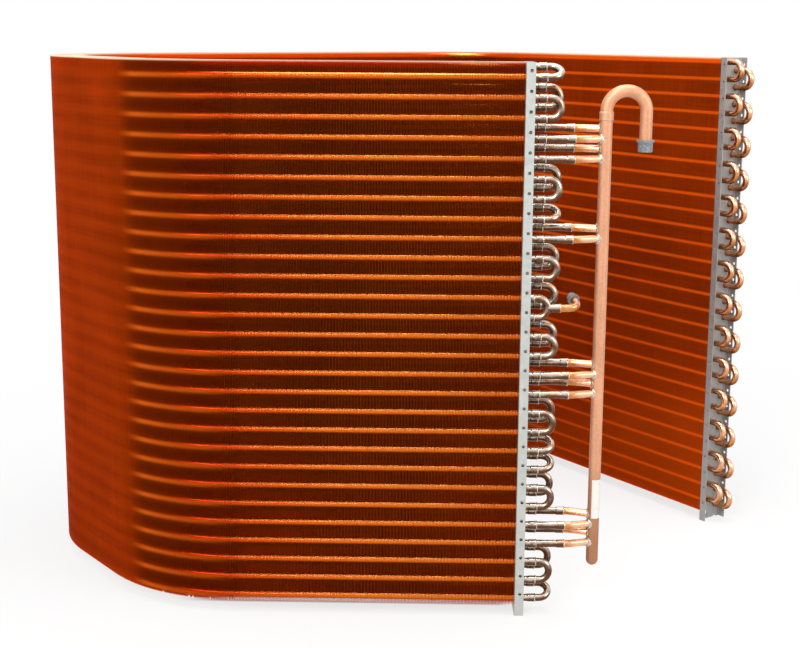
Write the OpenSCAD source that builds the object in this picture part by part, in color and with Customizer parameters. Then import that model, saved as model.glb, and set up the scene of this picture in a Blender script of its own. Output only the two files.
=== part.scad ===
// Finned condenser coil: two rows of copper hairpin tubes through a stack of copper fins, bent round
// three corners, with an end sheet, return bends, a gas header and a liquid tap at the near end.
// Millimetres. The origin is the middle of the near end sheet's foot, +X runs out of the near end,
// +Y runs into the space that the coil wraps round and +Z is up.

/* [Tubes] */
// Outside diameter of every tube and bend
tube_od = 9.52; // [7:0.01:12]
// Wall of the tubes
tube_wall = 0.45; // [0.3:0.05:1]
// Height from one tube to the next in a row
tube_pitch = 25.4; // [22:0.1:30]
// Depth from the outer row of tubes to the inner row
row_spacing = 22; // [18:0.1:28]
// Clearance round a tube in the fins
fin_clearance = 0.1; // [0.05:0.01:0.3]
// Clearance round a tube in a brazed socket
braze_gap = 0.1; // [0.05:0.01:0.3]

/* [Fins] */
// Depth of a fin from the outer face to the inner face
fin_depth = 44; // [40:1:60]
// Thickness of a modelled fin, which stands for a bundle of real ones
fin_thickness = 1.5; // [0.6:0.1:2.5]
// Distance between modelled fins along the middle of the wrap
fin_pitch = 25; // [15:1:40]

/* [Wrap] */
// Straight length of the front panel
front_run = 365; // [250:1:500]
// Straight length of the left panel
left_run = 116; // [80:1:250]
// Straight length of the back panel
back_run = 476; // [350:1:600]
// Straight length of the right panel
right_run = 380; // [250:1:450]
// Angle of the bend from the front panel to the left panel
front_left_bend = 53; // [40:1:65]
// Angle of the bend from the left panel to the back panel
left_back_bend = 90; // [80:1:100]
// Angle of the bend from the back panel to the right panel
back_right_bend = 92; // [80:1:100]
// Radius of the inner face round each bend
inside_bend_radius = 188; // [150:1:240]

/* [End sheets] */
// Thickness of the end sheets
sheet_thickness = 1.5; // [1:0.1:2.5]
// Width of the folded flanges
sheet_flange = 12.5; // [9:0.5:18]
// Inside radius of the folds
fold_radius = 1; // [0.5:0.1:2]
// Gap between an end sheet and the end of the wrap
sheet_gap = 0.3; // [0.1:0.1:1]
// Clearance round a tube in an end sheet
sheet_clearance = 0.5; // [0.2:0.1:1]
// Length that the end sheets stand below the fins
foot_drop = 15.5; // [8:0.5:25]
// Diameter of the screw holes in the flanges
flange_hole = 4.4; // [3:0.1:6]
// Distance of the screw holes from the back of the web
flange_hole_reach = 7.5; // [5.5:0.5:8.5]
// Height of a screw hole above the outer tube beside it
flange_hole_rise = 8.5; // [0:0.5:12]

/* [Tube ends] */
// Length of a hairpin leg past the fins, to the rim of its socket
leg_out = 28; // [24:0.5:40]
// Length of the two shorter legs that take the liquid tap
tap_leg_out = 18; // [16:0.5:22]
// Depth of the expanded sockets
socket_depth = 9; // [6:0.5:11]
// Length of the flare behind a socket
socket_flare = 1.5; // [1:0.1:3]
// Straight length of a return bend past its socket
return_stand = 5; // [2:0.5:10]
// Straight length of a hairpin past the fins at the far end
far_out = 20; // [16:0.5:35]

/* [Header] */
// Outside diameter of the header and of the hook tube
header_od = 15.9; // [14:0.1:22]
// Wall of the header and of the hook tube
header_wall = 1; // [0.7:0.1:2]
// Distance of the header from the end of the fins
header_reach = 104; // [96:1:125]
// Height of the header's closed end above the bottom of the fins
header_base = 50; // [20:1:70]
// Height of the joint with the hook above the bottom of the fins
header_joint = 640; // [636:1:660]
// Distance of the rims of the stubs' sockets from the end of the fins
stub_rim = 65; // [54:0.5:68]
// Straight length of a spigot past its socket
spigot_stand = 2; // [1:0.5:6]
// Bend radius of the spigots
spigot_bend_radius = 20; // [15:1:24]
// Length of a spigot inside the header's bore
spigot_reach = 2; // [1:0.1:3]

/* [Hook tube] */
// Bend radius of the hook
hook_radius = 25; // [20:1:35]
// Straight length of the hook above its socket
hook_stand = 0.5; // [0.5:0.5:10]
// Length of the free leg of the hook
hook_drop = 50; // [35:1:80]
// Length of the cap on the hook
hook_cap_length = 15; // [10:0.5:20]
// Wall of the plastic caps
cap_wall = 1.2; // [0.8:0.1:2]
// Width of a cap's rim
cap_rim = 1.8; // [1:0.1:3]
// Height of a cap's rim
cap_rim_height = 3; // [2:0.1:5]

/* [Liquid tap] */
// Straight length of the tap's outlet socket
outlet_length = 16; // [14:0.5:20]
// Bore between the tap's bend and its outlet
outlet_bore = 7; // [5:0.1:7.5]
// Straight length of the liquid line before its elbow
line_run = 18; // [16:0.5:30]
// Bend radius of the elbow
elbow_radius = 13; // [11:0.5:20]
// Angle of the elbow
elbow_angle = 106; // [80:1:120]
// Upward tilt of the elbow
elbow_tilt = 16; // [0:1:60]
// Straight length after the elbow
line_end = 18; // [16:0.5:30]
// Length of the cap on the line
line_cap_length = 12; // [8:0.5:14]

/* [Hidden] */
$fn = 32;
// The circuit plan is drawn for this many tubes a row, counted from the top
tubes = 28;
hairpins = tubes / 2;
outer = 0;
inner = 1;
// Tubes whose near end is joined to the next tube down in the same row
outer_returns = [1, 5, 9, 13, 17, 21, 25];
inner_returns = [1, 5, 9, 11, 13, 17, 21, 25];
// Tubes whose near end is joined to the same tube of the other row
cross_returns = [0, 7, 19, 20, 27];
// Tubes of both rows that feed the header
header_tubes = [3, 4, 8, 15, 16, 23, 24];
// The liquid tap joins this outer tube and the next one down
tap_tube = 11;

tube_bore = tube_od - 2 * tube_wall;
socket_bore = tube_od + 2 * braze_gap;
socket_od = socket_bore + 2 * tube_wall;
fin_height = tubes * tube_pitch;
bend_radius = inside_bend_radius + fin_depth;
runs = [front_run, left_run, back_run, right_run];
bends = [front_left_bend, left_back_bend, back_right_bend];
last_run = len(runs) - 1;
row_depths = [(fin_depth - row_spacing) / 2, (fin_depth + row_spacing) / 2];
// The tubes of the outer row lie half a pitch lower than those of the inner row
row_drops = [0.75, 0.25];
cross_span = norm([row_spacing, tube_pitch / 2]);
cross_turn = atan2(row_spacing, tube_pitch / 2);
// How far a bend laps over the straight tubes, and how much thicker its wall is drawn
bend_lap = 0.4;
bend_swell = 0.04;
// How far a cut runs past the face that it opens
overcut = 1;

header_bore = header_od - 2 * header_wall;
header_socket_bore = header_od + 2 * braze_gap;
header_socket_od = header_socket_bore + 2 * header_wall;
header_depth = fin_depth / 2;
// A spigot bends round a centre beside it, then runs straight at the header's axis
spigot_bend_start = stub_rim + spigot_stand;
spigot_aim = [header_reach - spigot_bend_start, row_spacing / 2 - spigot_bend_radius];
spigot_lean = atan2(spigot_aim.y, spigot_aim.x) + asin(spigot_bend_radius / norm(spigot_aim));
spigot_run = sqrt(norm(spigot_aim) ^ 2 - spigot_bend_radius ^ 2);
spigot_end = header_bore / 2 - spigot_reach;
header_top = header_joint + socket_depth;
hook_start = header_top + socket_flare;
hook_top = hook_start + hook_stand;
hook_end = hook_top - hook_drop;

row_names = ["outer", "inner"];
return_rows = [outer_returns, inner_returns];
function numbered(name, i) = str(name, i < 9 ? "_0" : "_", i + 1);
function hairpin_name(row, j) = numbered(str("hairpin_", row_names[row]), j);
function return_name(row, i) = numbered(str("return_bend_", row_names[row]), i);
fin_names = ["fins_front", "fins_left", "fins_back", "fins_right"];
stub_names = ["header_stubs_outer", "header_stubs_inner"];
spigot_names = ["header_spigots_outer", "header_spigots_inner"];

copper = "#d98c5f";
fin_copper = "#8c3f16";
header_copper = "#e3a484";
tinned = "#b9aea2";
galvanised = "#c9ccc4";
cap_blue = "#73879a";

// Height of tube k of a row above the bottom of the fins
function tube_z(row, k) = (tubes - row_drops[row] - k) * tube_pitch;

// Length of a tube's leg past the fins at the near end
function leg_length(row, k) =
    row == outer && (k == tap_tube || k == tap_tube + 1) ? tap_leg_out : leg_out;

// Frame of the near end: +X out of the fins, Y the depth from the outer face, Z from their bottom
module near_end() {
    translate([-sheet_gap - sheet_thickness / 2, -fin_depth / 2, foot_drop]) children();
}

// Frame of the wrap: X along the front panel from its near end, then Y and Z as at the near end
module wrap_start() {
    near_end() mirror([1, 0, 0]) children();
}

// Carries its children round bend i, from the end of panel i to the start of the next panel
module past_bend(i) {
    translate([runs[i], bend_radius, 0]) rotate(bends[i]) translate([0, -bend_radius, 0]) children();
}

// Frame of panel i
module panel(i) {
    if (i == 0) wrap_start() children();
    else panel(i - 1) past_bend(i - 1) children();
}

module along_x() {
    rotate([0, 90, 0]) children();
}

module ring(outside, bore) {
    difference() {
        circle(d = outside);
        circle(d = bore);
    }
}

module tube_ring() {
    ring(tube_od, tube_bore);
}

module straight_tube(length) {
    along_x() linear_extrude(length) tube_ring();
}

// A tube bent round +Z, from the X direction at [0, -radius] through an angle. The bend's wall is
// drawn a little thick, and its ends lap over the ends of the straight tubes that it joins.
module bent_tube(radius, angle) {
    lap = bend_lap / radius * 180 / PI;
    rotate_extrude(start = -90 - lap, angle = angle + 2 * lap) translate([radius, 0])
        ring(tube_od + bend_swell, tube_bore - bend_swell);
}

// Half a turn of tube in the XZ plane, open towards -X
module half_turn(radius) {
    rotate([90, 0, 0]) rotate_extrude(start = -90, angle = 180) translate([radius, 0]) tube_ring();
}

// Flared socket on the end of a tube, opening along +Z
module socket(od, bore, mouth_od, mouth_bore, depth) {
    rotate_extrude() polygon([
        [bore / 2, 0],
        [od / 2, 0],
        [mouth_od / 2, socket_flare],
        [mouth_od / 2, socket_flare + depth],
        [mouth_bore / 2, socket_flare + depth],
        [mouth_bore / 2, socket_flare],
        [bore / 2, socket_flare]
    ]);
}

module tube_socket() {
    socket(tube_od, tube_bore, socket_od, socket_bore, socket_depth);
}

// A straight tube along +X that ends in a socket, with its whole length
module socketed_tube(length) {
    plain = length - socket_depth - socket_flare;
    straight_tube(plain);
    translate([plain, 0, 0]) along_x() tube_socket();
}

// Fins

module fin_profile() {
    difference() {
        square([fin_depth, fin_height]);
        for (row = [outer, inner], k = [0:tubes - 1])
            translate([row_depths[row], tube_z(row, k)]) circle(d = tube_od + 2 * fin_clearance);
    }
}

module fin() {
    translate([-fin_thickness / 2, 0, 0]) rotate([90, 0, 90]) linear_extrude(fin_thickness) fin_profile();
}

// The fins of panel i and of the bend that follows it
module fins(i) {
    middle_radius = bend_radius - fin_depth / 2;
    run_fins = round(runs[i] / fin_pitch);
    color(fin_copper) panel(i) {
        for (j = [0:run_fins - 1]) translate([(j + 0.5) * runs[i] / run_fins, 0, 0]) fin();
        if (i < last_run) {
            bend_fins = round(bends[i] * PI / 180 * middle_radius / fin_pitch);
            translate([runs[i], bend_radius, 0]) for (j = [0:bend_fins - 1])
                rotate((j + 0.5) * bends[i] / bend_fins) translate([0, -bend_radius, 0]) fin();
        }
    }
}

// Hairpin tubes

// Near end of one leg, with its socket
module leg_end(length) {
    mirror([1, 0, 0]) socketed_tube(length);
}

// Both legs of a hairpin from panel i to the far end, with the lower leg at Z = 0
module hairpin_from(i, depth) {
    legs = [0, tube_pitch];
    run = i < last_run ? runs[i] : runs[i] + far_out;
    for (z = legs) translate([0, depth, z]) straight_tube(run);
    if (i < last_run) {
        for (z = legs) translate([runs[i], bend_radius, z]) bent_tube(bend_radius - depth, bends[i]);
        past_bend(i) hairpin_from(i + 1, depth);
    } else {
        translate([run, depth, tube_pitch / 2]) half_turn(tube_pitch / 2);
    }
}

module hairpin(row, j) {
    upper = 2 * j;
    lower = upper + 1;
    color(copper) wrap_start() translate([0, 0, tube_z(row, lower)]) {
        hairpin_from(0, row_depths[row]);
        translate([0, row_depths[row], 0]) leg_end(leg_length(row, lower));
        translate([0, row_depths[row], tube_pitch]) leg_end(leg_length(row, upper));
    }
}

// Return bends

// A bend whose legs stand in two sockets, centred between them
module return_bend(span, socket_rim) {
    start = socket_rim - socket_depth;
    stand = socket_depth + return_stand;
    for (side = [-1, 1]) translate([start, 0, side * span / 2]) straight_tube(stand);
    translate([start + stand, 0, 0]) half_turn(span / 2);
}

module row_return(row, k) {
    color(tinned) near_end()
        translate([0, row_depths[row], tube_z(row, k) - tube_pitch / 2]) return_bend(tube_pitch, leg_out);
}

module cross_bends() {
    color(tinned) near_end() for (k = cross_returns)
        translate([0, fin_depth / 2, (tube_z(outer, k) + tube_z(inner, k)) / 2])
            rotate([-cross_turn, 0, 0]) return_bend(cross_span, leg_out);
}

// End sheets

module rounded_web(width, depth, radius) {
    translate([radius, 0]) square([width - radius, depth]);
    translate([0, radius]) square([width, depth - 2 * radius]);
    for (y = [radius, depth - radius]) translate([radius, y]) circle(radius);
}

module channel_profile() {
    difference() {
        rounded_web(sheet_flange, fin_depth, fold_radius + sheet_thickness);
        translate([sheet_thickness, sheet_thickness])
            rounded_web(sheet_flange, fin_depth - 2 * sheet_thickness, fold_radius);
    }
}

// Folded channel against the end of the fins, with X out of the wrap
module end_sheet() {
    hole = tube_od + 2 * sheet_clearance;
    color(galvanised) translate([sheet_gap, 0, 0]) difference() {
        translate([0, 0, -foot_drop]) linear_extrude(fin_height + foot_drop) channel_profile();
        for (row = [outer, inner], k = [0:tubes])
            translate([-overcut, row_depths[row], tube_z(row, k)])
                along_x() cylinder(d = hole, h = sheet_thickness + 2 * overcut);
        for (k = [0:tubes - 1])
            translate([flange_hole_reach, -overcut, tube_z(outer, k) + flange_hole_rise])
                rotate([-90, 0, 0]) cylinder(d = flange_hole, h = fin_depth + 2 * overcut);
    }
}

module near_end_sheet() {
    near_end() end_sheet();
}

module far_end_sheet() {
    panel(last_run) translate([right_run, 0, 0]) end_sheet();
}

// Header

// Outline of a tube with a round closed end, from its axis out
module round_end(radius, base, top) {
    intersection() {
        translate([0, base + radius]) circle(radius);
        translate([0, base]) square(radius);
    }
    translate([0, base + radius]) square([radius, top - base - radius]);
}

module header() {
    color(header_copper) near_end() translate([header_reach, header_depth, 0]) difference() {
        rotate_extrude() difference() {
            round_end(header_od / 2, header_base, header_top);
            round_end(header_bore / 2, header_base + header_wall, header_top + overcut);
        }
        for (row = [outer, inner], k = header_tubes) translate([0, 0, tube_z(row, k)])
            rotate(row == outer ? 180 + spigot_lean : 180 - spigot_lean) along_x()
                cylinder(d = tube_od + 2 * braze_gap, h = header_od);
    }
}

// Places its children at each tube of a row that feeds the header
module at_header_tubes(row) {
    near_end() for (k = header_tubes) translate([0, row_depths[row], tube_z(row, k)]) children();
}

// Straight stubs from the hairpins' sockets, each with a socket of its own
module header_stubs(row) {
    start = leg_out - socket_depth;
    color(tinned) at_header_tubes(row) translate([start, 0, 0]) socketed_tube(stub_rim - start);
}

// One spigot from a stub's socket into the header, leaning towards +Y
module spigot() {
    start = stub_rim - socket_depth;
    translate([start, 0, 0]) straight_tube(spigot_bend_start - start);
    translate([spigot_bend_start, spigot_bend_radius, 0]) {
        bent_tube(spigot_bend_radius, spigot_lean);
        rotate(spigot_lean) translate([0, -spigot_bend_radius, 0]) straight_tube(spigot_run - spigot_end);
    }
}

module header_spigots(row) {
    color(copper) at_header_tubes(row) mirror([0, row == inner ? 1 : 0, 0]) spigot();
}

// Hook tube

module header_ring() {
    ring(header_od, header_bore);
}

module hook_tube() {
    color(header_copper) near_end() translate([header_reach, header_depth, 0]) {
        translate([0, 0, hook_start]) {
            rotate([180, 0, 0])
                socket(header_od, header_bore, header_socket_od, header_socket_bore, socket_depth);
            linear_extrude(hook_stand) header_ring();
        }
        translate([hook_radius, 0, hook_top]) rotate([90, 0, 0])
            rotate_extrude(angle = 180) translate([hook_radius, 0]) header_ring();
        translate([2 * hook_radius, 0, hook_end]) linear_extrude(hook_drop) header_ring();
    }
}

// Plastic cap over the end of a tube at Z = 0, with its rim on the tube's side, which is above
module plastic_cap(od, length) {
    bore = od / 2 + braze_gap;
    body = bore + cap_wall;
    rim = body + cap_rim;
    base = -cap_wall;
    top = base + length;
    color(cap_blue) rotate_extrude() polygon([
        [0, base],
        [body - cap_wall / 2, base],
        [body, base + cap_wall],
        [body, top - cap_rim_height],
        [rim, top - cap_rim_height],
        [rim, top],
        [bore, top],
        [bore, 0],
        [0, 0]
    ]);
}

module hook_cap() {
    near_end() translate([header_reach + 2 * hook_radius, header_depth, hook_end])
        plastic_cap(header_od, hook_cap_length);
}

// Liquid tap, line and end cap

tap_start = tap_leg_out - socket_depth;
tap_stand = socket_depth + return_stand;
tap_apex = tap_start + tap_stand + tube_pitch / 2;

module tap_frame() {
    near_end() translate([0, row_depths[outer], tube_z(outer, tap_tube) - tube_pitch / 2]) children();
}

// A rod along the tap's bend, drawn once for the outside and once for the bore
module tap_rod(diameter) {
    for (side = [-1, 1]) translate([tap_start, 0, side * tube_pitch / 2])
        along_x() cylinder(d = diameter, h = tap_stand);
    translate([tap_start + tap_stand, 0, 0]) rotate([90, 0, 0])
        rotate_extrude(start = -90, angle = 180) translate([tube_pitch / 2, 0]) circle(d = diameter);
}

module liquid_tap() {
    color(tinned) tap_frame() difference() {
        union() {
            tap_rod(tube_od);
            translate([tap_apex, 0, 0]) along_x() cylinder(d = socket_od, h = outlet_length);
        }
        tap_rod(tube_bore);
        translate([tap_apex, 0, 0]) along_x() cylinder(d = outlet_bore, h = outlet_length);
        translate([tap_apex + outlet_length - socket_depth, 0, 0])
            along_x() cylinder(d = socket_bore, h = socket_depth + overcut);
    }
}

// Frame of the liquid line: X along the outlet, Y the way that the elbow turns
module line_frame() {
    tap_frame() translate([tap_apex + outlet_length - socket_depth, 0, 0])
        rotate([elbow_tilt, 0, 0]) children();
}

module past_elbow() {
    translate([line_run, elbow_radius, 0]) rotate(elbow_angle) translate([0, -elbow_radius, 0]) children();
}

module liquid_line() {
    color(copper) line_frame() {
        straight_tube(line_run);
        translate([line_run, elbow_radius, 0]) bent_tube(elbow_radius, elbow_angle);
        past_elbow() straight_tube(line_end);
    }
}

module liquid_line_cap() {
    line_frame() past_elbow() translate([line_end, 0, 0]) rotate([0, -90, 0])
        plastic_cap(tube_od, line_cap_length);
}

for (i = [0:last_run]) fins(i);
for (row = [outer, inner], j = [0:hairpins - 1])
    hairpin(row, j);
for (row = [outer, inner], i = [0:len(return_rows[row]) - 1])
    row_return(row, return_rows[row][i]);
for (row = [outer, inner]) header_stubs(row);
for (row = [outer, inner]) header_spigots(row);
cross_bends();
near_end_sheet();
far_end_sheet();
header();
hook_tube();
hook_cap();
liquid_tap();
liquid_line();
liquid_line_cap();
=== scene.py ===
"""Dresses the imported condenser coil: full-density fins, braze, a bare label, finishes and the stage."""

import math
import random

import bmesh
import bpy
from bpy.props import FloatProperty, FloatVectorProperty, IntProperty, PointerProperty
from mathutils import Euler, Matrix, Vector, noise


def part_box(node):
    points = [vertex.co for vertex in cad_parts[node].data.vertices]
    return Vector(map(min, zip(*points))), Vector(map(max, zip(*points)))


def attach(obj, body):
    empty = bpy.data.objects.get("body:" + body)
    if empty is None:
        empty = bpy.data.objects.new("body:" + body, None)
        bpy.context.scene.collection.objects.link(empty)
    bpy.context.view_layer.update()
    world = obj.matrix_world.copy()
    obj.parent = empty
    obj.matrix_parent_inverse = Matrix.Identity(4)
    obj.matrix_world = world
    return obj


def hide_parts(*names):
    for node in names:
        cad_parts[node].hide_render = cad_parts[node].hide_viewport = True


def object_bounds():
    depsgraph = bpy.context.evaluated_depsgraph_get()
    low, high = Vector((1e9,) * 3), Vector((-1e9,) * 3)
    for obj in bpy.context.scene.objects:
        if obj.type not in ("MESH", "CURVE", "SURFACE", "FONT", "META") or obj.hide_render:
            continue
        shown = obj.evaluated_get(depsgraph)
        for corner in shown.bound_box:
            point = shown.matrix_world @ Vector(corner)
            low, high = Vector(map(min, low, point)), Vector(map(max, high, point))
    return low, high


bl_info = {
    "name": "Condenser Coil Dressing",
    "version": (1, 0, 0),
    "blender": (4, 5, 0),
    "location": "View3D > Sidebar > Coil",
    "description": "Fins, braze, label and finishes for a bent two-row condenser coil",
    "category": "Object",
}

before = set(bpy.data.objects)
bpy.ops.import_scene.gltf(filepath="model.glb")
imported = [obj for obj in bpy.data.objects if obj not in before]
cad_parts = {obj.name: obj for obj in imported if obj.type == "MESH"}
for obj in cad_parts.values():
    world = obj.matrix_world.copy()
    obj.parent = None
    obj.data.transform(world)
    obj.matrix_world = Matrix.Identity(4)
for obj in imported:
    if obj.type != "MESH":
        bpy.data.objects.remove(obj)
CAD_BOX = [list(corner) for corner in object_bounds()]
BODY = "root"
UP = Vector((0, 0, 1))
OUT = Vector((1, 0, 0))

# The coil's plan and tube layout, in metres, as the solids have them
FIN_NODES = ("fins_front", "fins_left", "fins_back", "fins_right")
FIN_LOW, FIN_HIGH = (Vector(corner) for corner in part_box(FIN_NODES[0]))
SHEET_LOW, SHEET_HIGH = (Vector(corner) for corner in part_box("near_end_sheet"))
FIN_DEPTH = SHEET_HIGH.y - SHEET_LOW.y
FIN_HEIGHT = FIN_HIGH.z - FIN_LOW.z
SHEET_GAP = 0.0003
FIN_END_X = SHEET_LOW.x - SHEET_GAP
RUNS = (0.365, 0.116, 0.476, 0.380)
BENDS = (math.radians(53), math.radians(90), math.radians(92))
FIRST_TURN_X = FIN_END_X - RUNS[0]
INNER_RADIUS = 0.188
OUTER_RADIUS = INNER_RADIUS + FIN_DEPTH
TUBES = 28
TUBE_PITCH = FIN_HEIGHT / TUBES
TUBE_RADIUS = 0.00476
ROW_SPACING = 0.022
ROW_Y = (-ROW_SPACING / 2, ROW_SPACING / 2)
ROW_DROPS = (0.75, 0.25)
OUTER_ROW, INNER_ROW = range(len(ROW_Y))
LEG_OUT = 0.028
TAP_LEG_OUT = 0.018
TAP_TUBES = (11, 12)
OUTLET_RIM = 0.0517
STUB_RIM = 0.065
HEADER_TUBES = (3, 4, 8, 15, 16, 23, 24)
HEADER_OUT = 0.104
HEADER_X = FIN_END_X + HEADER_OUT
HEADER_RADIUS = 0.00795
HEADER_JOINT = 0.640
SPIGOT_LEAN = math.radians(18)

# The shape of the thin pieces: metres above a fin's foot, and shares of a fin's depth or of a bead's radius
FIN_CREASES = (0.006, 0.020)
FIN_FOLDS = 4
BENT_DEPTH = 0.1
BENT_LIFT = 0.3
BEAD_OUT = 0.5
HEADER_BEAD_OUT = 0.4
LUMPS_PER_METRE = 700
LABEL_STEPS = 24

# Numbers that vertices keep for the finishes
DEPTH = "depth"
UNDERSIDE = "underside"

# Where finishes, painted light and painted shade change, in metres: below the top of the fins, above the
# floor, across the coil, along it from the start of the first turn, and how far a change reaches
TOP_HIGHLIGHT = (0.0025, 0.0004)
INNER_TOP_LIGHT = (0.0055, 0.0025)
INNER_FOOT_LIGHT = (0.40, 0.10)
BENDS_FOOT = (0.35, 0.10)
HEADER_FOOT = (0.26, 0.08)
FRONT_FINS = (0.05, 0.03)
FRONT_TUBES = (0.06, 0.05)
FRONT_TURN = (0.14, 0.10)
FAR_TUBES = (0.15, 0.16)
TURN_STARTS = (0.02, -0.05)
TURN_ENDS = (-0.16, -0.13)
SHEET_FADE = 0.004
NEAR_SHADE = 0.20

# Patterns: how a noise is stretched, the middle of its range, and half a tube's crown in tube pitches
UPRIGHT = (1, 1, 0.02)
LEVEL = (0.02, 0.02, 1)
NOISE_MIDDLE = (0.3, 0.7)
TUBE_CROWN = 0.04

# The stage, in metres: each lamp's place and width, and where the floor keeps the shadow
LAMPS = {"key": ((-1.2, -2.6, 2.2), 1.6), "top": ((0, 0.2, 2.6), 1.8), "fill": ((2.2, -1.2, 1.4), 1.4)}
SHADOW_CENTRE = (0, 0.3, 0)
SHADOW_REACH = (0.4, 1.6)
SHADOW_SHARE = 0.25
UNDER_FINS = (0.012, 0.020)
BEHIND_FINS = (0.18, 0.05)
BESIDE_TURN = 0.10
BESIDE_END = 0.02
WHITE = (1, 1, 1)
GREY = (0.9, 0.9, 0.9)


def colour(name, words, default):
    """A colour setting."""
    return FloatVectorProperty(name=name, description=words, subtype="COLOR", size=3, min=0, max=1,
                               default=default)


def length(name, words, default):
    """A length setting, in metres."""
    return FloatProperty(name=name, description=words, unit="LENGTH", min=0, precision=5, default=default)


def angle(name, words, degrees):
    """An angle setting, given in degrees."""
    return FloatProperty(name=name, description=words, subtype="ANGLE", default=math.radians(degrees))


def amount(name, words, default):
    """A plain number that isn't negative."""
    return FloatProperty(name=name, description=words, min=0, default=default)


class FinSettings(bpy.types.PropertyGroup):
    """The fin stacks."""

    pitch: length("Pitch", "Distance between fins", 0.0019)
    thickness: length("Thickness", "Thickness of one fin", 0.00015)
    corrugation: length("Corrugation", "How far the folds of a fin stand off its middle", 0.0009)
    unevenness: length("Unevenness", "How far fin edges stray from their places", 0.00003)
    bent_share: FloatProperty(name="Bent", description="Share of the first bend's fins with a bent foot",
                              subtype="FACTOR", min=0, max=1, default=0.16)
    bent_reach: length("Bent reach", "How far a bent foot is pushed aside", 0.0025)
    seed: IntProperty(name="Seed", description="Seed of the stray fins", default=7)
    base: colour("Copper", "Copper of the fins", (0.79, 0.125, 0.0075))
    dulled: colour("Dulled", "Copper of the fins where it has dulled", (0.64, 0.09, 0.005))
    # Painted shade where the front panel turns and by the near end sheet
    shaded: colour("Shaded", "Copper of the fins in the first bend", (0.42, 0.05, 0.003))
    # Collars round the tubes, painted brighter as the reflection of the tubes between the fins, and painted
    # light low on the inner face
    collar: colour("Collars", "Copper of the fins round the tubes", (1.0, 0.18, 0.007))
    # Painted light round the tubes in the first bend and along the top of the inner face
    lit: colour("Lit collars", "Copper of the fins round the tubes in the first bend", (1.0, 0.27, 0.02))
    # Painted highlight: the top edges of the fins are painted pale for the light from above
    edge: colour("Edges", "Bare cut edges at the top of the fins", (1.0, 0.82, 0.64))


class BrazeSettings(bpy.types.PropertyGroup):
    """The braze at the tube joints."""

    bead: length("Bead", "Radius of a bead of braze", 0.0008)
    header_bead: length("Header bead", "Radius of the fillet round a spigot at the header", 0.0015)
    lumps: length("Lumps", "Height of the lumps in the braze", 0.0004)
    seed: IntProperty(name="Seed", description="Seed of the lumps", min=1, default=7)
    alloy: colour("Alloy", "Colour of the braze", (0.72, 0.66, 0.58))


class LabelSettings(bpy.types.PropertyGroup):
    """The bare label round the header."""

    height: length("Height", "Height of the label", 0.053)
    base: length("Base", "Height of the label's lower edge above the floor", 0.132)
    wrap: angle("Wrap", "Angle that the label covers", 150)
    facing: angle("Facing", "Direction that the label faces", -42)
    paper: length("Paper", "Thickness of the label", 0.0002)
    colour: colour("Colour", "Colour of the label", (0.75, 0.74, 0.68))


class TubeSettings(bpy.types.PropertyGroup):
    """Finishes of the tubes, sheets and caps."""

    bright: colour("Bright copper", "Drawn copper tube", (0.90, 0.52, 0.33))
    lit: colour("Lit copper", "Upper side of the copper between the fins", (1.0, 0.46, 0.11))
    collared: colour("Collared copper", "Copper between the fins", (0.92, 0.28, 0.02))
    shaded: colour("Shaded copper", "Under side of the copper between the fins", (0.40, 0.07, 0.006))
    # Amber is also painted shade on the undersides of the far bends and the spigots
    amber: colour("Amber copper", "Copper tinted by the torch", (0.66, 0.24, 0.06))
    annealed: colour("Annealed copper", "Copper of the header and hook", (0.74, 0.37, 0.215))
    handled: colour("Handled copper", "Copper of the header's lower end", (0.36, 0.165, 0.085))
    silvered: colour("Silvered copper", "Copper silvered by the flux", (0.60, 0.53, 0.45))
    # Brown is also painted shade on the undersides of the far bends and the stained bends
    browned: colour("Browned copper", "Copper browned by the torch", (0.13, 0.06, 0.03))
    zinc: colour("Zinc", "Galvanised sheet of the near end", (0.54, 0.555, 0.52))
    # Painted shade: the far end sheet's zinc is a darker copy of the near end's
    shaded_zinc: colour("Dull zinc", "Dulled galvanised sheet of the far end", (0.42, 0.415, 0.40))
    cap: colour("Cap", "Plastic of the caps", (0.17, 0.185, 0.20))


class StageSettings(bpy.types.PropertyGroup):
    """Camera, floor and light."""

    camera_place: FloatVectorProperty(name="Camera", description="Place of the camera", subtype="TRANSLATION",
                                      default=(-0.11697, -1.87347, 0.76523))
    pitch: angle("Pitch", "Angle that the camera looks down", 11.31)
    yaw: angle("Yaw", "Angle that the camera turns left", 1.19)
    roll: angle("Roll", "Angle that the camera rolls", 0.37)
    lens: FloatProperty(name="Lens", description="Focal length in millimetres", min=1, default=66.37)
    floor: length("Floor", "Width of the floor", 14)
    ambient: amount("Ambient", "Strength of the sky's light", 0.48)
    key: amount("Key", "Power of the key lamp in watts", 60)
    top: amount("Top", "Power of the top lamp in watts", 40)
    fill: amount("Fill", "Power of the fill lamp in watts", 25)


SETTINGS = {"coil_fins": FinSettings, "coil_braze": BrazeSettings, "coil_label": LabelSettings,
            "coil_tubes": TubeSettings, "coil_stage": StageSettings}


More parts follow.
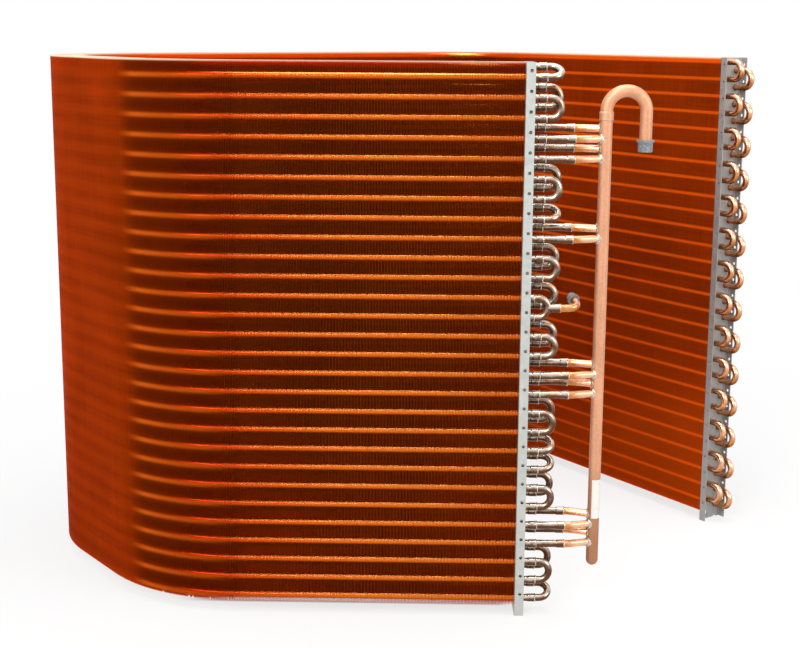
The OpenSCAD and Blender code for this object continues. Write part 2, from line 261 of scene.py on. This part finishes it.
class Value:
    """An output of a node tree. Arithmetic on values adds Math nodes."""

    def __init__(self, tree, socket):
        self.tree = tree
        self.socket = socket

    def maths(self, operation, *terms):
        """A Math node on these terms."""
        return self.tree.node("ShaderNodeMath", {"operation": operation}, dict(enumerate(terms)))

    def __add__(self, other):
        return self.maths("ADD", self, other)

    def __radd__(self, other):
        return self.maths("ADD", other, self)

    def __sub__(self, other):
        return self.maths("SUBTRACT", self, other)

    def __rsub__(self, other):
        return self.maths("SUBTRACT", other, self)

    def __mul__(self, other):
        return self.maths("MULTIPLY", self, other)

    def __rmul__(self, other):
        return self.maths("MULTIPLY", other, self)

    def __truediv__(self, other):
        return self.maths("DIVIDE", self, other)

    def modulo(self, other):
        """The remainder, never negative."""
        return self.maths("FLOORED_MODULO", self, other)

    def size(self):
        """The value without its sign."""
        return self.maths("ABSOLUTE", self)

    def larger(self, other):
        """The larger of two values."""
        return self.maths("MAXIMUM", self, other)

    def fade(self, start, end, low=0.0, high=1.0):
        """Smoothly from low at start to high at end."""
        settings = {"interpolation_type": "SMOOTHSTEP"}
        return self.tree.node("ShaderNodeMapRange", settings, {0: self, 1: start, 2: end, 3: low, 4: high})

    def spread(self, low, high):
        """Smoothly from low to high over the middle of a noise."""
        return self.fade(*NOISE_MIDDLE, low, high)


class Tree:
    """A tree of shader nodes."""

    def __init__(self, tree):
        self.nodes = tree.nodes
        self.links = tree.links
        self.nodes.clear()

    def node(self, kind, settings=None, sockets=None, output=0):
        """Adds a node, sets it up, feeds its sockets and returns one of its outputs."""
        made = self.nodes.new(kind)
        for key, value in (settings or {}).items():
            setattr(made, key, value)
        for key, value in (sockets or {}).items():
            self.feed(made.inputs[key], value)
        return Value(self, made.outputs[output])

    def feed(self, socket, value):
        """Links a value to a socket, or sets the socket to a number, vector or colour."""
        if isinstance(value, Value):
            self.links.new(value.socket, socket)
        elif socket.type == "RGBA":
            socket.default_value = (*value, 1.0)
        else:
            socket.default_value = value

    def looked_at(self):
        """One on rays from the camera, from a reflection or through a clear piece, nought on others."""
        camera, glossy, clear = (self.node("ShaderNodeLightPath", output=f"Is {kind} Ray")
                                 for kind in ("Camera", "Glossy", "Transmission"))
        return camera + glossy + clear

    def end(self, kind, shader):
        """Ends the tree with a shader."""
        self.feed(self.nodes.new(kind).inputs["Surface"], shader)


class Finish(Tree):
    """A material made of nodes."""

    def __init__(self, name):
        self.material = bpy.data.materials.new(name)
        self.material.use_nodes = True
        super().__init__(self.material.node_tree)

    def place(self):
        """Object coordinates."""
        return self.node("ShaderNodeTexCoord", output="Object")

    def axis(self, name):
        """One coordinate of a place on the object."""
        return self.node("ShaderNodeSeparateXYZ", sockets={0: self.place()}, output=name)

    def speckle(self, scale, detail, stretch=(1, 1, 1)):
        """Noise from 0 to 1 at a scale in features per metre, stretched along an axis by a small factor."""
        where = self.node("ShaderNodeMapping", {}, {"Vector": self.place(), "Scale": stretch})
        return self.node("ShaderNodeTexNoise", {}, {"Vector": where, "Scale": scale, "Detail": detail})

    def cells(self, scale):
        """A random value for each cell of a crystalline pattern."""
        sockets = {"Vector": self.place(), "Scale": scale}
        grey = self.node("ShaderNodeTexVoronoi", {"feature": "F1"}, sockets, output="Color")
        return self.node("ShaderNodeSeparateXYZ", sockets={0: grey})

    def reach(self, way):
        """How far a place on the object lies along a way."""
        settings = {"operation": "DOT_PRODUCT"}
        return self.node("ShaderNodeVectorMath", settings, {0: self.place(), 1: way}, output="Value")

    def near(self, centre, inside, outside):
        """One near a point, falling to nought further off."""
        settings = {"operation": "DISTANCE"}
        gap = self.node("ShaderNodeVectorMath", settings, {0: self.place(), 1: centre}, output="Value")
        return gap.fade(inside, outside, 1.0, 0.0)

    def kept(self, name):
        """A number kept by the piece's vertices."""
        return self.node("ShaderNodeAttribute", {"attribute_name": name}, output="Fac")

    def blend(self, share, low, high):
        """A colour between two colours."""
        return self.node("ShaderNodeMix", {"data_type": "RGBA"}, {0: share, 6: low, 7: high}, output=2)

    def bump(self, height, distance, strength):
        """A normal tilted by a height."""
        return self.node("ShaderNodeBump", {}, {"Height": height, "Distance": distance, "Strength": strength})

    def surface(self, **sockets):
        """Closes the material with its surface."""
        named = {key.replace("_", " ").title().replace("Ior", "IOR"): value for key, value in sockets.items()}
        return self.close(self.node("ShaderNodeBsdfPrincipled", {}, named, output="BSDF"))

    def close(self, shader):
        """Ends the tree with a shader and returns the material."""
        self.end("ShaderNodeOutputMaterial", shader)
        return self.material


def toned(metal, factor):
    """A colour made darker or paler by a factor."""
    return tuple(min(1.0, part * factor) for part in metal)


def tube_height(row, tube):
    """Height of a tube, counted from the top of its row."""
    return FIN_LOW.z + (TUBES - ROW_DROPS[row] - tube) * TUBE_PITCH


def along(heading):
    """The way that the wrap runs at a heading."""
    return Vector((math.cos(heading), math.sin(heading), 0))


def inward(heading):
    """The way into the wrapped space at a heading."""
    return Vector((math.sin(heading), -math.cos(heading), 0))


def panels():
    """Each panel's start on the outer face, its heading, its run and the bend that follows it."""
    start = Vector((FIN_END_X, SHEET_LOW.y, 0))
    heading = math.pi
    for run, bend in zip(RUNS, (*BENDS, 0)):
        yield start, heading, run, bend
        centre = start + along(heading) * run + inward(heading) * OUTER_RADIUS
        heading -= bend
        start = centre - inward(heading) * OUTER_RADIUS


def near_tubes(finish, row, reach):
    """One at the heights of a row's tubes, falling to nought over a reach given in tube pitches."""
    pitches = (finish.axis("Z") - FIN_LOW.z) / TUBE_PITCH
    gap = ((pitches + ROW_DROPS[row] + 0.5).modulo(1.0) - 0.5).size()
    return gap.fade(TUBE_CROWN, reach, 1.0, 0.0)


def first_bend(finish):
    """One where the front panel starts to turn, falling to nought on the panels beside it."""
    past_start = finish.axis("X") - FIRST_TURN_X
    return past_start.fade(*TURN_STARTS) * past_start.fade(*TURN_ENDS) * finish.axis("Y").fade(*FRONT_TURN)


def fin_finish(settings):
    """Rolled copper, streaked up and down, with drawn collars round the nearer row's tubes, and painted light,
    shade and reflection.
    """
    finish = Finish("fin_copper")
    streaks = finish.speckle(scale=260, detail=3, stretch=UPRIGHT)
    clouds = finish.speckle(scale=9, detail=3)
    ripples = finish.speckle(scale=330, detail=2, stretch=LEVEL)
    inside = finish.kept(DEPTH).fade(0.4, 0.6)
    outside = 1 - inside
    below_top = FIN_HIGH.z - finish.axis("Z")
    # Painted highlight on the top edges of the fins
    cut = below_top.fade(*TOP_HIGHLIGHT)
    # Painted light along the top of the inner face
    lit_inner_top = below_top.fade(*INNER_TOP_LIGHT) * inside
    # Painted light on the lower part of the inner face
    lit_inner_foot = finish.axis("Z").fade(*INNER_FOOT_LIGHT) * inside
    # Painted shade on the outer face where the front panel turns
    bend = first_bend(finish) * outside
    # Painted shade on the front fins near the end sheet
    near_end = finish.axis("X").fade(FIN_END_X - NEAR_SHADE, FIN_END_X)
    near_end = near_end * finish.axis("Y").fade(*FRONT_FINS) * outside
    # Collars round the tubes, painted bright as the reflection of the tubes between the fins
    inner_tubes = near_tubes(finish, INNER_ROW, reach=0.14) * inside
    outer_tubes = near_tubes(finish, OUTER_ROW, reach=0.45) * outside * 0.3
    # Painted highlight round the tubes where the front panel turns
    lit_bend_tubes = near_tubes(finish, OUTER_ROW, reach=0.20) * bend
    polish = (streaks * 0.3 + clouds * 0.4 + ripples * 0.3).fade(0.38, 0.64)
    copper = finish.blend(polish, settings.dulled, settings.base)
    copper = finish.blend((bend * 0.75).larger(near_end * 0.35), copper, settings.shaded)
    copper = finish.blend(lit_inner_foot * 0.6, copper, settings.collar)
    copper = finish.blend(outer_tubes.larger(inner_tubes), copper, settings.collar)
    copper = finish.blend(lit_bend_tubes.larger(lit_inner_top), copper, settings.lit)
    return finish.surface(
        base_color=finish.blend(cut, copper, settings.edge),
        metallic=0.62 - inner_tubes.larger(lit_bend_tubes).larger(cut).larger(lit_inner_top) * 0.45,
        specular_ior_level=0.1,
        specular_tint=settings.collar,
        roughness=streaks.spread(0.26, 0.18),
    )


def tube_finish(settings):
    """Copper hairpins: collared between the fins, silvered at the near end, bright at the far bends, with a
    painted highlight on top and painted shade underneath.
    """
    finish = Finish("tube_copper")
    scuffs = finish.speckle(scale=900, detail=2, stretch=(0.2, 0.2, 1))
    patches = finish.speckle(scale=120, detail=3)
    under = finish.kept(UNDERSIDE)
    *_, (start, heading, run, _) = panels()
    way = along(heading)
    far_end = (finish.reach(way) - (start.dot(way) + run)).fade(0, SHEET_FADE)
    far_end = far_end * finish.axis("X").fade(*FAR_TUBES)
    near_end = finish.axis("X").fade(FIN_END_X, FIN_END_X + SHEET_FADE) * finish.axis("Y").fade(*FRONT_TUBES)
    # Between the fins: painted shade on the undersides and a painted highlight on the upper sides
    collared = finish.blend(under.fade(0.45, 0.85), settings.collared, settings.shaded)
    collared = finish.blend(under.fade(0.42, 0.20), collared, settings.lit)
    # At the far bends: amber and brown, partly in patches and partly painted shade on the undersides
    bright = finish.blend((under + patches * 0.5).fade(0.55, 0.95), settings.bright, settings.amber)
    bright = finish.blend((under + patches * 0.6).fade(0.85, 1.25), bright, settings.browned)
    # At the near end: silvered copper, browned in patches and as painted shade on the undersides
    stained_and_shaded = finish.blend((under + patches * 0.8).fade(0.56, 1.05), settings.silvered, settings.browned)
    return finish.surface(
        base_color=finish.blend(near_end, finish.blend(far_end, collared, bright), stained_and_shaded),
        metallic=1.0,
        roughness=scuffs.spread(0.18, 0.32),
    )


def stained_shaded_finish(settings):
    """Copper bends, silvered and browned by brazing, with painted shade on their undersides, browner towards
    the floor.
    """
    finish = Finish("heat_stained_copper")
    patches = finish.speckle(scale=90, detail=2)
    specks = finish.speckle(scale=500, detail=2)
    low = finish.axis("Z").fade(*BENDS_FOOT) * 0.14
    # Browned in patches, as painted shade on the undersides, and more towards the floor
    brown_and_shade = (finish.kept(UNDERSIDE) + patches * 0.5 + low).fade(0.48, 0.90)
    bare = (patches * 0.7 + specks * 0.3).fade(0.48, 0.62)
    metal = finish.blend(bare, settings.silvered, settings.bright)
    return finish.surface(
        base_color=finish.blend(brown_and_shade, metal, settings.browned),
        metallic=1.0,
        roughness=specks.spread(0.20, 0.30),
        normal=finish.bump(specks, distance=0.0002, strength=0.15),
    )


def spigot_finish(settings):
    """Copper tinted amber by the torch, paler at the header, with painted shade that turns the undersides
    amber.
    """
    finish = Finish("torch_tinted_copper")
    specks = finish.speckle(scale=160, detail=3)
    at_header = finish.axis("X").fade(FIN_END_X + STUB_RIM, HEADER_X - HEADER_RADIUS)
    # Paler at the header and in specks; painted shade turns the undersides amber
    pale = (at_header * 1.2 + specks * 0.8 - finish.kept(UNDERSIDE) * 0.6).fade(0.0, 0.85)
    return finish.surface(
        base_color=finish.blend(pale, settings.amber, settings.bright),
        metallic=1.0,
        roughness=specks.spread(0.24, 0.38),
    )


def header_finish(settings):
    """Annealed copper, matte and mottled, browner at the lower end."""
    finish = Finish("header_copper")
    specks = finish.speckle(scale=420, detail=4)
    clouds = finish.speckle(scale=45, detail=3, stretch=(1, 1, 0.4))
    mottling = (specks * 0.45 + clouds * 0.55).fade(0.36, 0.68)
    copper = finish.blend(mottling, toned(settings.annealed, 0.80), toned(settings.annealed, 1.12))
    handled = finish.axis("Z").fade(*HEADER_FOOT) * (0.55 + specks * 0.6)
    return finish.surface(
        base_color=finish.blend(handled, copper, settings.handled),
        metallic=0.75,
        roughness=specks.spread(0.46, 0.60),
        normal=finish.bump(specks, distance=0.0001, strength=0.3),
    )


def zinc_finish(name, zinc):
    """Galvanised sheet with a faint spangle."""
    finish = Finish(name)
    spangle = finish.cells(scale=160)
    dust = finish.speckle(scale=60, detail=4)
    share = spangle * 0.5 + dust.spread(0, 1) * 0.5
    return finish.surface(
        base_color=finish.blend(share, toned(zinc, 0.86), zinc),
        metallic=0.55,
        roughness=spangle.fade(0, 1, 0.44, 0.58),
    )


def cap_finish(settings):
    """Soft plastic, scuffed pale in places."""
    finish = Finish("cap_plastic")
    scuffs = finish.speckle(scale=380, detail=4)
    return finish.surface(
        base_color=finish.blend(scuffs.fade(0.48, 0.66), settings.cap, toned(settings.cap, 1.7)),
        roughness=scuffs.spread(0.42, 0.58),
        normal=finish.bump(scuffs, distance=0.0002, strength=0.4),
    )


def braze_finish(settings):
    """Lumpy silver braze."""
    finish = Finish("braze_alloy")
    specks = finish.speckle(scale=800, detail=3)
    return finish.surface(
        base_color=finish.blend(specks.fade(0.35, 0.60), toned(settings.alloy, 0.5), settings.alloy),
        metallic=1.0,
        roughness=specks.spread(0.20, 0.42),
    )


def paper_finish(settings):
    """Plain paper with faint fibres."""
    finish = Finish("label_paper")
    fibres = finish.speckle(scale=1500, detail=3, stretch=(1, 1, 0.3))
    return finish.surface(
        base_color=finish.blend(fibres.fade(0.3, 0.6), toned(settings.colour, 0.90), settings.colour),
        roughness=0.7,
    )


def floor_finish():
    """White paper that keeps a soft shadow, and the whole shadow between and just behind the front fins."""
    finish = Finish("floor_paper")
    shade = finish.node("ShaderNodeBsdfDiffuse", {}, {"Color": GREY})
    glow = finish.node("ShaderNodeEmission", {}, {"Color": WHITE})
    around = finish.near(SHADOW_CENTRE, *SHADOW_REACH)
    beside = finish.axis("X").fade(FIRST_TURN_X - BESIDE_TURN, FIRST_TURN_X)
    beside = beside * finish.axis("X").fade(FIN_END_X, FIN_END_X - BESIDE_END)
    behind = finish.axis("Y").fade(*UNDER_FINS) * finish.axis("Y").fade(*BEHIND_FINS)
    white = finish.looked_at() * ((1 - SHADOW_SHARE * around) * (1 - beside * behind))
    return finish.close(finish.node("ShaderNodeMixShader", {}, {0: white, 1: shade, 2: glow}))


def dress(material, *nodes):
    """Gives solids of the frame their finish. Their vertices keep how far they face down."""
    for name in nodes:
        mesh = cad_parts[name].data
        mesh.materials.clear()
        mesh.materials.append(material)
        facing = mesh.attributes.new(UNDERSIDE, "FLOAT", "POINT")
        facing.data.foreach_set("value", [(1 - normal.vector.z) / 2 for normal in mesh.vertex_normals])


def nodes_named(*starts):
    """The solids whose names start with one of these words."""
    return [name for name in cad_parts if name.startswith(starts)]


def new_object(name, shape, material):
    """Makes an object from a bmesh, in the scene, with its finish."""
    mesh = bpy.data.meshes.new(name)
    shape.to_mesh(mesh)
    shape.free()
    mesh.materials.append(material)
    made = bpy.data.objects.new(name, mesh)
    bpy.context.scene.collection.objects.link(made)
    return made


def finished_piece(name, shape, material):
    """Makes a piece of the coil from a bmesh, in the frame, with its finish."""
    bmesh.ops.recalc_face_normals(shape, faces=shape.faces[:])
    piece = new_object(name, shape, material)
    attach(piece, BODY)
    return piece


def all_of(shape):
    """Everything in a bmesh."""
    return shape.verts[:] + shape.edges[:] + shape.faces[:]


def one_fin(shape, place, heading, settings):
    """A thin corrugated plate across the wrap, at a place on the outer face. Its vertices keep their depth."""
    depth = shape.verts.layers.float.new(DEPTH)
    side, inwards = along(heading), inward(heading)
    centre = place + inwards * FIN_DEPTH / 2 + UP * (FIN_LOW.z + FIN_HEIGHT / 2)
    scale = (settings.thickness, FIN_DEPTH, FIN_HEIGHT)
    bmesh.ops.create_cube(shape, size=1, matrix=Matrix.LocRotScale(centre, Euler((0, 0, heading)), scale))
    cuts = [(UP * (FIN_LOW.z + crease), UP) for crease in FIN_CREASES]
    cuts += [(place + inwards * FIN_DEPTH * fold / FIN_FOLDS, inwards) for fold in range(1, FIN_FOLDS)]
    for point, normal in cuts:
        bmesh.ops.bisect_plane(shape, geom=all_of(shape), plane_co=point, plane_no=normal)
    for vert in shape.verts:
        vert[depth] = (vert.co - place).dot(inwards) / FIN_DEPTH
        fold = round(vert[depth] * FIN_FOLDS)
        if 0 < fold < FIN_FOLDS:
            vert.co += side * (settings.corrugation if fold % 2 else -settings.corrugation)
    return all_of(shape)


def stray(shape, headings, settings, chance, bendable):
    """Moves each fin's edges a little off their places, and pushes the feet of some bendable fins aside."""
    corners = len(shape.verts) // len(headings)
    depth = shape.verts.layers.float[DEPTH]
    foot = FIN_LOW.z + FIN_CREASES[0] / 2
    shape.verts.ensure_lookup_table()
    for i, heading in enumerate(headings):
        side = along(heading)
        outer_slip = chance.gauss(0, settings.unevenness)
        inner_slip = chance.gauss(0, settings.unevenness)
        is_bent = i in bendable and chance.random() < settings.bent_share
        push = chance.uniform(-settings.bent_reach, settings.bent_reach)
        for vert in shape.verts[i * corners:(i + 1) * corners]:
            vert.co += side * (outer_slip * (1 - vert[depth]) + inner_slip * vert[depth])
            if is_bent and vert[depth] < BENT_DEPTH and vert.co.z < foot:
                vert.co += side * push + UP * abs(push) * BENT_LIFT


def fin_stack(start, heading, run, bend, settings, chance, has_bent_feet):
    """The fins of one panel and of the bend that follows it."""
    shape = bmesh.new()
    count = round(run / settings.pitch)
    step = run / count
    turns = round(bend * (OUTER_RADIUS - FIN_DEPTH / 2) / settings.pitch)
    fin = one_fin(shape, start + along(heading) * step / 2, heading, settings)
    headings = [heading]
    if turns:
        turn = bend / turns
        centre = start + along(heading) * run + inward(heading) * OUTER_RADIUS
        first = bmesh.ops.duplicate(shape, geom=fin)["geom"]
        verts = [part for part in first if isinstance(part, bmesh.types.BMVert)]
        bmesh.ops.translate(shape, vec=along(heading) * (run - step / 2), verts=verts)
        bmesh.ops.rotate(shape, cent=centre, matrix=Matrix.Rotation(-turn / 2, 3, "Z"), verts=verts)
        bmesh.ops.spin(shape, geom=first, cent=centre, axis=UP, angle=-turn * (turns - 1), steps=turns - 1,
                       use_duplicate=True)
        headings += [heading - turn * (i + 0.5) for i in range(turns)]
    bmesh.ops.spin(shape, geom=fin, cent=(0, 0, 0), axis=UP, angle=0, dvec=along(heading) * step,
                   steps=count - 1, use_duplicate=True)
    headings += [heading] * (count - 1)
    stray(shape, headings, settings, chance, range(1, 1 + turns) if has_bent_feet else ())
    return shape


def ring_of_braze(shape, centre, axis, ring, bead, steps=20, sides=8):
    """A bead of braze round a tube. Returns its vertices."""
    known = set(shape.verts)
    out = axis.orthogonal().normalized()
    turn = Matrix((out, axis, axis.cross(out))).transposed().to_4x4()
    place = Matrix.Translation(centre + out * ring) @ turn
    circle = bmesh.ops.create_circle(shape, segments=sides, radius=bead, matrix=place)["verts"]
    edges = list(dict.fromkeys(edge for vert in circle for edge in vert.link_edges))
    bmesh.ops.spin(shape, geom=circle + edges, cent=centre, axis=axis, angle=math.tau, steps=steps,
                   use_merge=True)
    return [vert for vert in shape.verts if vert not in known]


def saddle_of_braze(shape, row, height, bead):
    """A fillet of braze where a spigot enters the header."""
    lean = SPIGOT_LEAN if row == INNER_ROW else -SPIGOT_LEAN
    axis = Vector((-math.cos(lean), math.sin(lean), 0))
    side = UP.cross(axis)
    centre = Vector((HEADER_X, 0, height)) + axis * HEADER_RADIUS
    for vert in ring_of_braze(shape, centre, axis, TUBE_RADIUS + bead * HEADER_BEAD_OUT, bead):
        across = min(abs((vert.co - centre).dot(side)), HEADER_RADIUS)
        vert.co -= axis * (HEADER_RADIUS - math.sqrt(HEADER_RADIUS ** 2 - across ** 2))


def brazed_joints():
    """Centre, axis and tube radius of each brazed socket."""
    for row, y in enumerate(ROW_Y):
        for tube in range(TUBES):
            is_short = row == OUTER_ROW and tube in TAP_TUBES
            reach = TAP_LEG_OUT if is_short else LEG_OUT
            yield Vector((FIN_END_X + reach, y, tube_height(row, tube))), OUT, TUBE_RADIUS
        for tube in HEADER_TUBES:
            yield Vector((FIN_END_X + STUB_RIM, y, tube_height(row, tube))), OUT, TUBE_RADIUS
    outlet = sum(tube_height(OUTER_ROW, tube) for tube in TAP_TUBES) / len(TAP_TUBES)
    yield Vector((FIN_END_X + OUTLET_RIM, ROW_Y[OUTER_ROW], outlet)), OUT, TUBE_RADIUS
    yield Vector((HEADER_X, 0, FIN_LOW.z + HEADER_JOINT)), UP, HEADER_RADIUS


class COIL_OT_fins(bpy.types.Operator):
    """Replaces the sample fins with stacks of thin fins at their real spacing"""

    bl_idname = "coil.fins"
    bl_label = "Fin Stacks"

    def execute(self, context):
        settings = context.scene.coil_fins
        material = fin_finish(settings)
        chance = random.Random(settings.seed)
        for node, (start, heading, run, bend) in zip(FIN_NODES, panels()):
            shape = fin_stack(start, heading, run, bend, settings, chance, node == FIN_NODES[0])
            piece = finished_piece(node.replace("fins", "fin_stack"), shape, material)
            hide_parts(node)
        return {"FINISHED"}


class COIL_OT_braze(bpy.types.Operator):
    """Adds the beads of braze at the tube joints"""

    bl_idname = "coil.braze"
    bl_label = "Braze"

    def execute(self, context):
        settings = context.scene.coil_braze
        shape = bmesh.new()
        for centre, axis, radius in brazed_joints():
            ring_of_braze(shape, centre, axis, radius + settings.bead * BEAD_OUT, settings.bead)
        for row in (OUTER_ROW, INNER_ROW):
            for tube in HEADER_TUBES:
                saddle_of_braze(shape, row, tube_height(row, tube), settings.header_bead)
        noise.seed_set(settings.seed)
        for vert in shape.verts:
            vert.co += noise.noise_vector(vert.co * LUMPS_PER_METRE) * settings.lumps
        finished_piece("braze_beads", shape, braze_finish(settings))
        return {"FINISHED"}


class COIL_OT_label(bpy.types.Operator):
    """Wraps a bare paper label round the header"""

    bl_idname = "coil.label"
    bl_label = "Bare Label"

    def execute(self, context):
        settings = context.scene.coil_label
        shape = bmesh.new()
        out = along(settings.facing - settings.wrap / 2) * (HEADER_RADIUS + settings.paper)
        foot = Vector((HEADER_X, 0, settings.base)) + out
        low = shape.verts.new(foot)
        high = shape.verts.new(foot + UP * settings.height)
        edge = shape.edges.new((low, high))
        bmesh.ops.spin(shape, geom=[low, high, edge], cent=(HEADER_X, 0, 0), axis=UP, angle=settings.wrap,
                       steps=LABEL_STEPS)
        bmesh.ops.recalc_face_normals(shape, faces=shape.faces[:])
        bmesh.ops.solidify(shape, geom=shape.faces[:], thickness=settings.paper / 2)
        finished_piece("header_label", shape, paper_finish(settings))
        return {"FINISHED"}


class COIL_OT_tubes(bpy.types.Operator):
    """Gives the tubes, bends, header, sheets and caps their finishes"""

    bl_idname = "coil.tubes"
    bl_label = "Finishes"

    def execute(self, context):
        settings = context.scene.coil_tubes
        dress(tube_finish(settings), *nodes_named("hairpin"))
        stained_and_shaded = nodes_named("return_bend", "cross_bends", "liquid_tap", "header_stubs")
        dress(stained_shaded_finish(settings), *stained_and_shaded)
        dress(spigot_finish(settings), *nodes_named("header_spigots"), "liquid_line")
        dress(header_finish(settings), "header", "hook_tube")
        dress(zinc_finish("galvanised_steel", settings.zinc), "near_end_sheet")
        # The far end sheet gets the darker zinc as painted shade
        dress(zinc_finish("dulled_galvanised_steel", settings.shaded_zinc), "far_end_sheet")
        dress(cap_finish(settings), "hook_cap", "liquid_line_cap")
        return {"FINISHED"}


def sky(scene, ambient):
    """Soft white light all round, and a white background to look at and to reflect."""
    scene.world = bpy.data.worlds.new("studio")
    scene.world.use_nodes = True
    tree = Tree(scene.world.node_tree)
    strength = tree.looked_at().fade(0, 1, ambient, 1)
    light = tree.node("ShaderNodeBackground", {}, {"Color": WHITE, "Strength": strength})
    tree.end("ShaderNodeOutputWorld", light)


def lamp(scene, name, place, target, width, power):
    """A large soft lamp aimed at a point."""
    light = bpy.data.lights.new(name, "AREA")
    light.shape = "DISK"
    light.size = width
    light.energy = power
    made = bpy.data.objects.new(name, light)
    made.location = place
    made.rotation_euler = (target - Vector(place)).to_track_quat("-Z", "Y").to_euler()
    scene.collection.objects.link(made)


def camera(scene, settings):
    """The camera, which looks along +Y before it is turned."""
    made = bpy.data.objects.new("camera", bpy.data.cameras.new("camera"))
    made.data.lens = settings.lens
    made.location = settings.camera_place
    aim = Euler((math.pi / 2 - settings.pitch, 0, settings.yaw)).to_matrix()
    made.rotation_euler = (aim @ Matrix.Rotation(settings.roll, 3, "Z")).to_euler()
    scene.collection.objects.link(made)
    scene.camera = made


class COIL_OT_stage(bpy.types.Operator):
    """Sets up the floor, the light and the camera"""

    bl_idname = "coil.stage"
    bl_label = "Stage"

    def execute(self, context):
        scene = context.scene
        settings = scene.coil_stage
        scene.view_settings.view_transform = "Standard"
        shape = bmesh.new()
        bmesh.ops.create_grid(shape, x_segments=1, y_segments=1, size=settings.floor / 2)
        floor = new_object("floor", shape, floor_finish())
        sky(scene, settings.ambient)
        middle = (Vector(CAD_BOX[0]) + Vector(CAD_BOX[1])) / 2
        for name, (place, width) in LAMPS.items():
            lamp(scene, f"{name}_lamp", place, middle, width, getattr(settings, name))
        camera(scene, settings)
        return {"FINISHED"}


class COIL_PT_dressing(bpy.types.Panel):
    """Lists the steps that dress the coil"""

    bl_idname = "COIL_PT_dressing"
    bl_label = "Condenser Coil"
    bl_space_type = "VIEW_3D"
    bl_region_type = "UI"
    bl_category = "Coil"

    def draw(self, context):
        for operator in OPERATORS:
            self.layout.operator(operator.bl_idname)
        for name, group in SETTINGS.items():
            box = self.layout.box()
            for setting in group.__annotations__:
                box.prop(getattr(context.scene, name), setting)


OPERATORS = (COIL_OT_stage, COIL_OT_fins, COIL_OT_braze, COIL_OT_label, COIL_OT_tubes)
CLASSES = (*SETTINGS.values(), *OPERATORS, COIL_PT_dressing)


def register():
    """Adds the settings, steps and panel to Blender."""
    for made in CLASSES:
        bpy.utils.register_class(made)
    for name, group in SETTINGS.items():
        setattr(bpy.types.Scene, name, PointerProperty(type=group))


def unregister():
    """Takes them out again."""
    for name in SETTINGS:
        delattr(bpy.types.Scene, name)
    for made in reversed(CLASSES):
        bpy.utils.unregister_class(made)


def main():
    """Dresses the coil."""
    register()
    bpy.ops.coil.stage()
    bpy.ops.coil.fins()
    bpy.ops.coil.braze()
    bpy.ops.coil.label()
    bpy.ops.coil.tubes()


if __name__ == "__main__":
    main()
